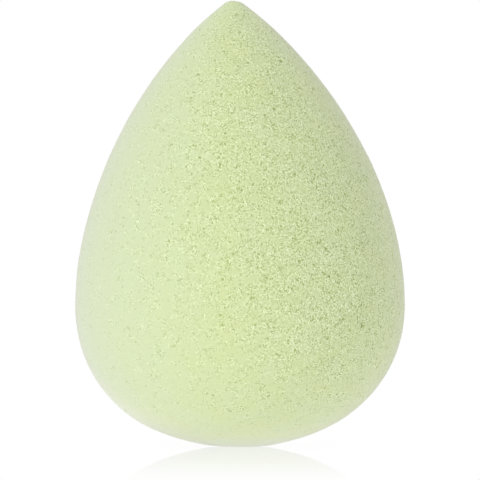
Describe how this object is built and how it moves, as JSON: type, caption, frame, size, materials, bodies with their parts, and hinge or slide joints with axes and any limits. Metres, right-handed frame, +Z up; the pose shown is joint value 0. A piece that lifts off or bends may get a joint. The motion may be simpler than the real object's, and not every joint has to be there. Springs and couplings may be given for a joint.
{
  "type": "makeup sponge",
  "caption": "Soft foam makeup sponge, a teardrop with a narrow rounded tip, a broad curved base and a small flat to stand on.",
  "frame": {"origin": "middle of the flat resting face under the broad end", "axes": "+Z up the sponge's own axis from the resting face to the tip; +Y away from the viewer of the picture, +X to the viewer's right. The sponge is the same all round its axis."},
  "size_m": [0.0444, 0.0444, 0.06],
  "materials": {
    "foam": "matte pale green open-cell foam, finely pitted all over"
  },
  "bodies": {
    "root": {"foam_body": "foam"}
  },
  "joints": []
}
